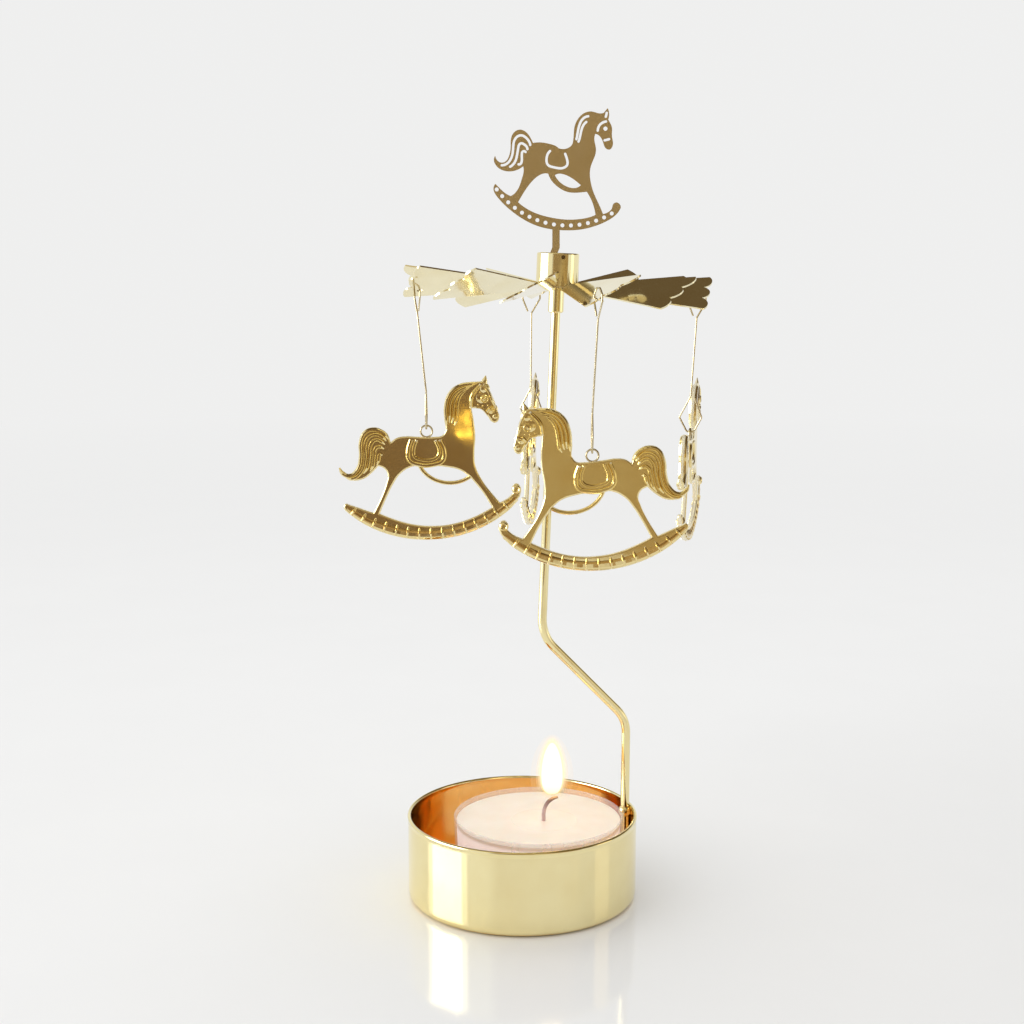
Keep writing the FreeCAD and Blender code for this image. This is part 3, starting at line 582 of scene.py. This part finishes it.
castHorse = {
    "halfThickness": 0.55, "edgeRound": 0.36, "ringDrop": 0.6, "outlineDrop": 1.175,
    "crease": 42, "flat": 0.9999,
    # how far the rims with their painted highlight reach on plate and relief, and how softly they end
    "plateRim": 0.75, "reliefRim": 0.42, "rimFade": 0.4,
    "nod": {"front": 6.0, "right": 2.0, "back": 4.0, "left": 0.0},
    "ring": {"place": (0.0, 1.175), "radius": 1.26, "wire": 0.215, "proud": 0.3},
    # plate, drawn nose to the right; each row is a smooth run that goes on from the row before
    "outline": [
        [(12.0, 12.05)],
        [(10.2, 11.9), (7.25, 11.5), (4.9, 9.8), (3.8, 6.7), (4.0, 3.4), (4.2, 1.5)],
        [(3.4, 0.3), (1.8, 0.0), (-1.8, 0.0), (-4.8, 0.1), (-6.6, -0.3), (-7.8, -1.2)],
        [(-8.4, 0.4), (-9.7, 1.5), (-11.5, 2.0), (-13.6, 1.3), (-14.7, -1.2), (-14.7, -4.5), (-15.4, -7.2),
         (-17.0, -8.4)],
        [(-17.3, -9.3)],
        [(-16.3, -9.6), (-13.9, -9.3), (-11.9, -7.9), (-10.5, -6.4)],
        [(-9.2, -7.0), (-8.5, -8.4), (-8.8, -9.9), (-9.6, -12.3), (-11.7, -16.7)],
        [(-16.8, -14.95), (-17.75, -14.7), (-18.15, -15.55), (-17.4, -16.6), (-14.4, -18.5), (-7.8, -21.1),
         (0.0, -22.4), (7.4, -21.4), (13.8, -18.7), (18.2, -15.8), (20.3, -13.0)],
        [(20.5, -11.3), (19.4, -10.2), (18.5, -11.2), (18.7, -12.3)],
        [(17.6, -13.4), (15.9, -14.4)],
        [(14.1, -12.3), (12.3, -9.9), (10.6, -6.3), (10.4, -3.5), (10.6, 0.0), (10.3, 3.4), (9.8, 6.2)],
        [(11.7, 6.0), (13.2, 4.6), (14.1, 3.3), (15.1, 3.1), (15.8, 4.3), (15.3, 6.0), (14.5, 8.4),
         (13.1, 11.0), (12.6, 11.8)],
    ],
    "opening": [
        [(-8.7, -13.2), (-7.2, -10.2), (-5.7, -8.1), (-3.3, -6.6), (-1.2, -6.4), (1.2, -6.4), (4.2, -6.6),
         (7.2, -7.3), (9.3, -8.7)],
        [(12.0, -12.0), (14.2, -15.5)],
        [(10.2, -17.6), (5.7, -19.1), (1.2, -19.6), (-3.3, -19.2), (-7.8, -17.9), (-10.3, -16.9)],
    ],
    # raised lines on both faces: half width, how far they stand from the middle, how thin their ends are
    "lines": {
        "mane": (0.5, 0.88, 0.45, [
            [(11.8, 11.7), (9.9, 11.45), (7.3, 11.0), (5.3, 9.5), (4.3, 6.7), (4.35, 3.6), (4.4, 1.9)],
            [(11.2, 11.25), (8.6, 10.75), (6.2, 9.3), (5.15, 7.0), (5.05, 4.6), (4.95, 2.2)],
            [(10.2, 10.75), (8.0, 10.1), (6.5, 8.6), (5.9, 6.4), (5.8, 4.2), (5.3, 2.2)],
            [(9.2, 10.3), (7.7, 9.4), (6.9, 7.8), (6.65, 5.5), (6.5, 3.4), (5.7, 1.9)],
        ]),
        "tail": (0.52, 0.88, 0.35, [
            [(-7.9, -1.2), (-8.8, 0.3), (-10.0, 1.2), (-11.6, 1.55), (-13.2, 0.95), (-14.2, -1.2),
             (-14.25, -4.5), (-15.0, -7.2), (-16.8, -8.6), (-18.3, -8.0), (-19.0, -6.8)],
            [(-8.2, -1.6), (-9.3, -0.2), (-10.8, 0.55), (-12.4, 0.0), (-13.25, -1.8), (-13.3, -4.8),
             (-14.2, -7.7), (-16.4, -9.15), (-18.0, -8.6)],
            [(-8.5, -2.3), (-9.6, -1.1), (-10.9, -0.6), (-11.95, -1.5), (-12.35, -4.0), (-12.9, -6.8),
             (-14.6, -9.0)],
            [(-8.8, -3.2), (-9.8, -2.2), (-10.8, -2.3), (-11.35, -4.2), (-11.7, -6.4), (-13.0, -8.5)],
            [(-9.2, -4.3), (-10.0, -3.9), (-10.4, -5.2), (-11.2, -7.0)],
        ]),
        "saddle": (0.62, 0.92, 1.0, [
            [(-3.3, -0.6), (-4.0, -3.1), (-3.7, -5.1), (-1.8, -6.0), (1.7, -6.0), (3.55, -5.1), (3.85, -3.1),
             (2.9, -0.6)],
        ]),
        "saddleInner": (0.5, 0.84, 1.0, [
            [(-2.15, -0.7), (-2.8, -3.1), (-2.55, -4.3), (-1.25, -4.9), (1.4, -4.9), (2.45, -4.2),
             (2.75, -3.1), (1.9, -0.7)],
        ]),
        "bridle": (0.6, 1.0, 0.8, [
            [(9.65, 6.3), (9.9, 8.8), (11.8, 11.4)],
            [(12.9, 5.2), (13.9, 6.2), (14.9, 6.5)],
        ]),
        "face": (0.36, 0.92, 0.7, [
            [(10.7, 6.4), (12.0, 6.2), (13.3, 4.9), (14.2, 3.8)],
            [(12.4, 11.5), (13.1, 10.4), (13.8, 9.2), (14.2, 8.0), (14.8, 6.5)],
            [(14.3, 4.1), (15.2, 3.9)],
        ]),
        "girth": (0.44, 0.5, 1.0, [
            [(-1.6, -6.2), (-0.8, -7.5), (0.9, -9.0), (2.9, -9.85), (4.9, -10.12), (7.3, -9.8), (9.2, -8.9),
             (10.2, -8.2)],
        ]),
    },
    "ear": {"half": 0.85, "proud": 0.55, "path": [(12.35, 11.2), (12.6, 12.1), (12.85, 13.25)],
            "radii": [1.0, 0.75, 0.15]},
    # low domes that swell the head: place, radius, how far they stand from the middle
    "domes": [((11.9, 8.5), 2.0, 0.69), ((12.4, 10.4), 1.4, 0.68), ((14.0, 5.9), 1.5, 0.69),
              ((14.9, 4.4), 0.9, 0.72)],
    "beads": {"radius": 0.26, "proud": 0.94, "places": [
        (11.2, 7.0), (12.2, 6.8), (11.6, 9.7), (11.1, 8.2), (13.3, 6.9), (13.6, 8.7), (14.4, 5.4),
    ]},
    "eye": {"place": (12.6, 8.3), "radius": 0.7, "wire": 0.28, "ball": 0.34, "proud": 1.02},
    "knob": {"place": (19.45, -11.4), "radius": 0.64, "wire": 0.42, "proud": 0.95},
    # a rounded swell along the rocker, darker above its crest with painted shade and slimmer at its ends, and
    # ribs across it
    "rocker": {"arc": [(-17.2, -15.35), (0.0, -21.15), (19.2, -13.1)], "points": 13, "taper": 0.3,
               "taperPower": 4, "railOut": 0.4, "railHalf": 1.2, "railProud": 0.9, "ribs": 15,
               "ribSpan": (0.04, 0.93), "ribReach": (1.15, 1.35), "ribHalf": 0.54, "ribProud": 1.02,
               "ribRadii": [0.6, 1.0, 0.8]},
}
# how finely curves, wire rings and balls are divided
division = {"along": 6, "around": 3, "ringWire": 12, "ringTurn": 32, "ballAround": 14, "ballUp": 10}


def addRun(curve, points, corners, closed, radii):
    spline = curve.splines.new("BEZIER")
    spline.bezier_points.add(len(points) - 1)
    spline.use_cyclic_u = closed
    for index, point in enumerate(points):
        knot = spline.bezier_points[index]
        knot.co = (point[0] * mm, point[1] * mm, 0)
        kind = "VECTOR" if index in corners else "AUTO"
        knot.handle_left_type = kind
        knot.handle_right_type = kind
        knot.radius = radii[index]


def addOutline(curve, runs):
    points = []
    corners = set()
    for run in runs:
        points.extend(run)
        corners.add(len(points) - 1)
    addRun(curve, points, corners, True, [1.0] * len(points))


def takeMesh(bm, curve, squeeze=1.0):
    # turns the flat drawing upright and adds it to the piece
    holder = bpy.data.objects.new(curve.name, curve)
    scene.collection.objects.link(holder)
    evaluated = holder.evaluated_get(bpy.context.evaluated_depsgraph_get())
    mesh = bpy.data.meshes.new_from_object(evaluated)
    mesh.transform(Matrix.Rotation(math.radians(90), 4, "X") @ Matrix.Diagonal((1, 1, squeeze, 1)))
    bm.from_mesh(mesh)
    bpy.data.objects.remove(holder)
    bpy.data.curves.remove(curve)
    bpy.data.meshes.remove(mesh)


def startCurve(name, dimensions, bevel):
    curve = bpy.data.curves.new(name, "CURVE")
    curve.dimensions = dimensions
    curve.resolution_u = division["along"]
    curve.bevel_depth = bevel
    curve.bevel_resolution = division["around"]
    return curve


def addPlate(bm):
    edge = castHorse["edgeRound"] * mm
    curve = startCurve("horsePlate", "2D", edge)
    curve.fill_mode = "BOTH"
    curve.offset = -edge
    curve.extrude = castHorse["halfThickness"] * mm - edge
    addOutline(curve, castHorse["outline"])
    addOutline(curve, castHorse["opening"])
    takeMesh(bm, curve)


def addLine(bm, path, width, proud, radii):
    # one rounded bar along the path, as deep as it stands proud of the middle
    curve = startCurve("raisedLine", "3D", width * mm)
    curve.use_fill_caps = True
    addRun(curve, path, set(), False, radii)
    takeMesh(bm, curve, proud / width)


def addLines(bm, width, proud, tip, paths):
    for path in paths:
        addLine(bm, path, width, proud, [tip] + [1.0] * (len(path) - 2) + [tip])


def addRing(bm, ring):
    # a wire circle spun about the crosswise line through its place
    centre = Vector((ring["place"][0], 0, ring["place"][1])) * mm
    made = bmesh.ops.create_circle(bm, cap_ends=False, radius=ring["wire"] * mm,
                                   segments=division["ringWire"])
    verts = made["verts"]
    edges = list(dict.fromkeys(edge for vert in verts for edge in vert.link_edges))
    deepen = Matrix.Diagonal((1, ring["proud"] / ring["wire"], 1, 1))
    start = Matrix.Translation(centre + Vector((ring["radius"] * mm, 0, 0)))
    bmesh.ops.transform(bm, matrix=start @ deepen, verts=verts)
    bmesh.ops.spin(bm, geom=verts + edges, cent=centre, axis=(0, 1, 0), angle=fullTurn,
                   steps=division["ringTurn"], use_merge=True)


def addBall(bm, place, radius, proud):
    spot = Matrix.Translation(Vector((place[0], 0, place[1])) * mm)
    size = Matrix.Diagonal((radius * mm, proud * mm, radius * mm, 1))
    bmesh.ops.create_uvsphere(bm, u_segments=division["ballAround"], v_segments=division["ballUp"],
                              radius=1.0, matrix=spot @ size)


def rockerCircle():
    # centre and radius of the rocker's arc: the upright bisectors of its two chords meet at the centre
    first, second, third = (Vector(point) for point in castHorse["rocker"]["arc"])
    ends = []
    for near, far in ((first, second), (second, third)):
        middle = (near + far) / 2
        ends += [middle.to_3d(), (middle + (far - near).orthogonal()).to_3d()]
    centre = intersect_line_line(*ends)[0].to_2d()
    return centre, (first - centre).length


def rockerPlaces(count, begin=0.0, stop=1.0):
    # evenly along the arc: the place, the way out of the arc there and the rocker's share of its full width
    rocker = castHorse["rocker"]
    centre, radius = rockerCircle()
    rear = Vector(rocker["arc"][0])
    nose = Vector(rocker["arc"][-1])
    low = math.atan2(rear.y - centre.y, rear.x - centre.x)
    high = math.atan2(nose.y - centre.y, nose.x - centre.x)
    places = []
    for index in range(count):
        share = begin + (stop - begin) * index / (count - 1)
        angle = low + (high - low) * share
        outward = Vector((math.cos(angle), math.sin(angle)))
        reach = 1 - rocker["taper"] * (2 * share - 1) ** rocker["taperPower"]
        places.append((centre + outward * radius, outward, reach))
    return places


def addRocker(bm):
    # hands back the faces of the swell above its crest, which get the painted shade
    rocker = castHorse["rocker"]
    places = rockerPlaces(rocker["points"])
    rail = [spot + outward * rocker["railOut"] * reach for spot, outward, reach in places]
    before = set(bm.faces)
    addLine(bm, rail, rocker["railHalf"], rocker["railProud"], [reach for spot, outward, reach in places])
    centre, radius = rockerCircle()
    crest = radius + rocker["railOut"]
    upper = set()
    for face in set(bm.faces) - before:
        middle = face.calc_center_median() / mm
        if (middle.xz - centre).length < crest:
            upper.add(face)
    inner, outer = rocker["ribReach"]
    for spot, outward, reach in rockerPlaces(rocker["ribs"], *rocker["ribSpan"]):
        rib = [spot - outward * inner * reach, spot, spot + outward * outer * reach]
        addLine(bm, rib, rocker["ribHalf"], rocker["ribProud"], rocker["ribRadii"])
    return upper


def creaseFlats(bm):
    # the polished flats meet their rounded rims in a crisp line
    for edge in bm.edges:
        flats = [abs(face.normal.y) > castHorse["flat"] for face in edge.link_faces]
        if any(flats) and not all(flats):
            edge.smooth = False


def markHighlightRims(bm, layer, verts, reach):
    # how much of the rim's painted highlight each point has: full where the surface looks along the plate
    bm.normal_update()
    for vert in verts:
        vert[layer] = min(max((reach - abs(vert.normal.y)) / castHorse["rimFade"], 0.0), 1.0)


def makeHorseForm():
    bm = bmesh.new()
    layer = bm.verts.layers.float.new("rim")
    addPlate(bm)
    bmesh.ops.recalc_face_normals(bm, faces=bm.faces)
    markHighlightRims(bm, layer, bm.verts, castHorse["plateRim"])
    plate = set(bm.verts)
    for width, proud, tip, paths in castHorse["lines"].values():
        addLines(bm, width, proud, tip, paths)
    dim = addRocker(bm)
    ear = castHorse["ear"]
    addLine(bm, ear["path"], ear["half"], ear["proud"], ear["radii"])
    eye = castHorse["eye"]
    addRing(bm, eye)
    addBall(bm, eye["place"], eye["ball"], eye["proud"])
    for place, radius, proud in castHorse["domes"]:
        addBall(bm, place, radius, proud)
    beads = castHorse["beads"]
    for place in beads["places"]:
        addBall(bm, place, beads["radius"], beads["proud"])
    addRing(bm, castHorse["knob"])
    cast = set(bm.faces)
    addRing(bm, castHorse["ring"])
    for face in bm.faces:
        face.material_index = 0 if face in cast else 1
    # the swell above the rocker's crest is darker: painted shade
    for face in dim:
        face.material_index = 2
    bmesh.ops.recalc_face_normals(bm, faces=bm.faces)
    markHighlightRims(bm, layer, set(bm.verts) - plate, castHorse["reliefRim"])
    cleanUp(bm)
    shadeRound(bm, castHorse["crease"])
    creaseFlats(bm)
    form = bpy.data.meshes.new("horseForm")
    bm.to_mesh(form)
    bm.free()
    return form


def buildHorses():
    form = makeHorseForm()
    drop = (castHorse["ringDrop"] + castHorse["outlineDrop"]) * mm
    finishes = [finish["horseGold"], finish["goldWire"], finish["paintedShadeGold"]]
    for name, nod in castHorse["nod"].items():
        rock = jointOf["pony_" + name]
        heading = math.atan2(-rock["axis"][0], rock["axis"][1])
        place = Matrix.Translation(rock["pos_m"]) @ Matrix.Rotation(heading, 4, "Z")
        place = place @ Matrix.Rotation(math.radians(nod), 4, "Y") @ Matrix.Translation((0, 0, -drop))
        bm = bmesh.new()
        bm.from_mesh(form)
        bmesh.ops.transform(bm, matrix=place, verts=bm.verts)
        makePiece("castHorse_" + name, bm, finishes, "pony_" + name, ["horse_" + name])
    bpy.data.meshes.remove(form)


# finishes for the frame's own nodes

nodeFinish = {
    "support_rod": "champagneGold", "rod_weld": "champagneGold", "hub_cap": "champagneGold",
    "hub_sleeve": "champagneGold", "stem_pin": "pinBronze", "blade_wheel": "mirrorGold",
    "top_horse": "mirrorGold", "bearing_cup": "bearingBrass",
    **{"hook_wire_" + name: "goldWire" for name in castHorse["nod"]},
}


def dressNodes():
    for node, name in nodeFinish.items():
        nodes[node].material_slots[0].material = finish[name]
    nodes["wick_sustainer"].material_slots[0].material = makeTin()
    print("nodes dressed:", len(nodeFinish) + 1)


# studio: pale floor, soft lights, a dim card behind the camera with two warm spots, the camera

studio = {
    "floorSize": 6.0, "floorColour": (0.87, 0.87, 0.865), "floorDim": 0.99, "floorGrain": 30,
    "floorFade": (0.30, 1.0), "floorRoughness": 0.08, "floorIor": 1.45,
    "backdrop": (0.865, 0.865, 0.86), "worldLevel": 0.82,
    # the ceiling in mirrors: the way it rises and between which heights, the way its colour turns and where
    "ceilingTilt": (0.32, 0.0, 1.0), "ceilingEdge": (0.32, 0.60), "ceilingLean": (0.8, 1.0, 0.0),
    "ceilingTurn": (-0.45, -0.12), "ceilingNear": (0.62, 0.53, 0.36), "ceilingFar": (0.13, 0.09, 0.045),
    "cameraPlace": (-0.00232, -0.3712, 0.1517), "cameraTilt": 80.375, "cameraLens": 59.8,
    "cameraSensor": 36, "cameraClip": 0.01, "lampAim": (0.0, 0.0, 0.08),
    "lamps": [
        # name, place, size, level, colour, what it does
        ("leftBox", (-0.75, -0.12, 0.24), (0.52, 0.40), 5.6, (1.0, 1.0, 0.97), "mirrored"),
        ("leftEdge", (-0.78, -0.12, 0.24), (0.74, 0.44), 2.4, (1.0, 1.0, 1.0), "mirrored"),
        ("rightStrip", (0.72, -0.06, 0.24), (0.24, 0.40), 0.75, (1.0, 0.85, 0.56), "mirrored"),
        ("leftFill", (-0.70, -0.40, 0.70), (0.80, 0.80), 0.6, (1.0, 1.0, 1.0), "lighting"),
        ("topBox", (0.05, 0.10, 0.95), (0.70, 0.70), 1.1, (1.0, 1.0, 1.0), "lighting"),
    ],
    # the dim side of the room, behind the camera and to its right, and two warm lights in it
    "card": {"distance": 0.46, "low": 0.0, "high": 0.40, "left": -0.30, "right": 0.75, "fade": 0.10,
             "across": [(-0.015, (0.25, 0.16, 0.083)), (0.006, (0.53, 0.41, 0.23)),
                        (0.075, (0.51, 0.38, 0.20)), (0.10, (0.84, 0.72, 0.46)),
                        (0.20, (0.78, 0.60, 0.28)), (0.40, (0.55, 0.36, 0.12)), (0.70, (0.42, 0.27, 0.11))],
             "upper": (0.335, 0.232, 0.119), "upperEdge": (0.11, 0.16), "roughness": 0.9},
    "spots": {"places": [(-0.0250, 0.0598, 0.0026), (-0.0251, 0.0525, 0.0034)], "ahead": 0.002, "steps": 32,
              "colour": (2.6, 1.75, 0.36)},
}


def makeFloor():
    material, tree, shader = startMaterial("glossyFloor")
    pale = studio["floorColour"]
    dim = tuple(part * studio["floorDim"] for part in pale)
    tint = tintField(tree, noiseField(tree, studio["floorGrain"]), dim, pale)
    tree.links.new(tint, shader.inputs["Base Color"])
    shader.inputs["Roughness"].default_value = studio["floorRoughness"]
    shader.inputs["IOR"].default_value = studio["floorIor"]
    far = tree.nodes.new("ShaderNodeEmission")
    far.inputs["Color"].default_value = (*studio["backdrop"], 1.0)
    fade = mapField(tree, lengthField(tree, objectCoords(tree)), *studio["floorFade"], 0.0, 1.0)
    seen = mixShaders(tree, fade, shader.outputs["BSDF"], far.outputs["Emission"])
    tree.links.new(seen, tree.nodes["Material Output"].inputs["Surface"])
    return material


def makeCard():
    # its colour runs from left to right and turns darker above; its edges fade away
    card = studio["card"]
    left = card["left"]
    right = card["right"]
    fade = card["fade"]
    material, tree, shader = startMaterial("dimCard")
    coords = splitCoords(tree)
    along = mapField(tree, coords["X"], left, right, 0.0, 1.0)
    stops = [((place - left) / (right - left), colour) for place, colour in card["across"]]
    climb = mapField(tree, coords["Z"], *card["upperEdge"], 0.0, 1.0)
    tint = mixColour(tree, climb, rampField(tree, along, stops), card["upper"])
    tree.links.new(tint, shader.inputs["Base Color"])
    shader.inputs["Roughness"].default_value = card["roughness"]
    cover = mapField(tree, coords["Z"], card["high"] - fade, card["high"], 1.0, 0.0)
    for inner, outer in ((left + fade, left), (right - fade, right)):
        side = mapField(tree, coords["X"], inner, outer, 1.0, 0.0)
        cover = mathField(tree, "MINIMUM", cover, side)
    tree.links.new(cover, shader.inputs["Alpha"])
    return material


def makeWarmSpot():
    material, _, shader = startMaterial("warmSpot")
    shader.inputs["Base Color"].default_value = (0.0, 0.0, 0.0, 1.0)
    shader.inputs["Emission Color"].default_value = (*studio["spots"]["colour"], 1.0)
    shader.inputs["Emission Strength"].default_value = 1.0
    return material


def addStagePiece(name, bm, material):
    sheet = meshObject(name, bm, [material])
    return sheet


def addSheet(name, place, size, material):
    bm = bmesh.new()
    bmesh.ops.create_grid(bm, x_segments=1, y_segments=1, size=0.5,
                          matrix=place @ Matrix.Diagonal((size[0], size[1], 1, 1)))
    return addStagePiece(name, bm, material)


def buildStage():
    addSheet("floorSheet", Matrix.Identity(4), (studio["floorSize"], studio["floorSize"]), makeFloor())
    card = studio["card"]
    upright = Matrix.Rotation(math.radians(90), 4, "X")
    middle = ((card["left"] + card["right"]) / 2, -card["distance"], (card["low"] + card["high"]) / 2)
    size = (card["right"] - card["left"], card["high"] - card["low"])
    unseen = [addSheet("dimCard", Matrix.Translation(middle) @ upright, size, makeCard())]
    spots = studio["spots"]
    glow = makeWarmSpot()
    for x, z, radius in spots["places"]:
        bm = bmesh.new()
        place = Matrix.Translation((x, spots["ahead"] - card["distance"], z))
        bmesh.ops.create_circle(bm, cap_ends=True, radius=radius, segments=spots["steps"],
                                matrix=place @ upright)
        unseen.append(addStagePiece("warmSpot", bm, glow))
    for piece in unseen:
        piece.visible_camera = False
        piece.visible_diffuse = False
        piece.visible_shadow = False


def buildLamps():
    for name, place, size, level, colour, use in studio["lamps"]:
        lamp = bpy.data.lights.new(name, "AREA")
        lamp.color = colour
        lamp.shape = "RECTANGLE"
        lamp.size, lamp.size_y = size
        lamp.energy = level * math.pi * size[0] * size[1]
        holder = bpy.data.objects.new(name, lamp)
        holder.location = place
        aim = Vector(studio["lampAim"]) - Vector(place)
        holder.rotation_euler = aim.to_track_quat("-Z", "Y").to_euler()
        holder.visible_camera = False
        holder.visible_glossy = use == "mirrored"
        holder.visible_diffuse = use == "lighting"
        scene.collection.objects.link(holder)


def addBackground(tree, colour, strength=1.0):
    background = tree.nodes.new("ShaderNodeBackground")
    background.inputs["Color"].default_value = (*colour, 1.0)
    background.inputs["Strength"].default_value = strength
    return background


def buildWorld():
    # the camera sees a plain backdrop and matte surfaces get even light
    # mirrors see the backdrop under a ceiling that is darker to the back and to the right
    world = bpy.data.worlds.new("paleRoom")
    scene.world = world
    world.use_nodes = True
    tree = world.node_tree
    tree.nodes.clear()
    coords = tree.nodes.new("ShaderNodeTexCoord")
    rise = alongField(tree, coords.outputs["Generated"], studio["ceilingTilt"])
    climb = mapField(tree, rise, *studio["ceilingEdge"], 0.0, 1.0)
    lean = alongField(tree, coords.outputs["Generated"], studio["ceilingLean"])
    turn = mapField(tree, lean, *studio["ceilingTurn"], 0.0, 1.0)
    ceiling = rampField(tree, turn, [(0.0, studio["ceilingNear"]), (1.0, studio["ceilingFar"])])
    room = tree.nodes.new("ShaderNodeMix")
    room.data_type = "RGBA"
    room.inputs["A"].default_value = (*studio["backdrop"], 1.0)
    tree.links.new(climb, room.inputs["Factor"])
    tree.links.new(ceiling, room.inputs["B"])
    seen = addBackground(tree, studio["backdrop"])
    lit = addBackground(tree, (1.0, 1.0, 1.0), studio["worldLevel"])
    mirrored = addBackground(tree, studio["backdrop"])
    tree.links.new(room.outputs["Result"], mirrored.inputs["Color"])
    path = tree.nodes.new("ShaderNodeLightPath")
    bounced = mathField(tree, "MAXIMUM", path.outputs["Is Glossy Ray"], path.outputs["Is Transmission Ray"])
    indirect = mixShaders(tree, bounced, lit.outputs["Background"], mirrored.outputs["Background"])
    shown = mixShaders(tree, path.outputs["Is Camera Ray"], indirect, seen.outputs["Background"])
    output = tree.nodes.new("ShaderNodeOutputWorld")
    tree.links.new(shown, output.inputs["Surface"])


def buildCamera():
    lens = bpy.data.cameras.new("photoCamera")
    lens.lens = studio["cameraLens"]
    lens.sensor_width = studio["cameraSensor"]
    lens.clip_start = studio["cameraClip"]
    camera = bpy.data.objects.new("photoCamera", lens)
    camera.location = studio["cameraPlace"]
    camera.rotation_euler = (math.radians(studio["cameraTilt"]), 0, 0)
    scene.collection.objects.link(camera)
    scene.camera = camera


buildCandleCup()
buildClearCup()
buildWax()
buildWick()
buildFlame()
buildHorses()
dressNodes()
buildStage()
buildLamps()
buildWorld()
buildCamera()
scene.view_settings.view_transform = "Standard"
print("studio ready")
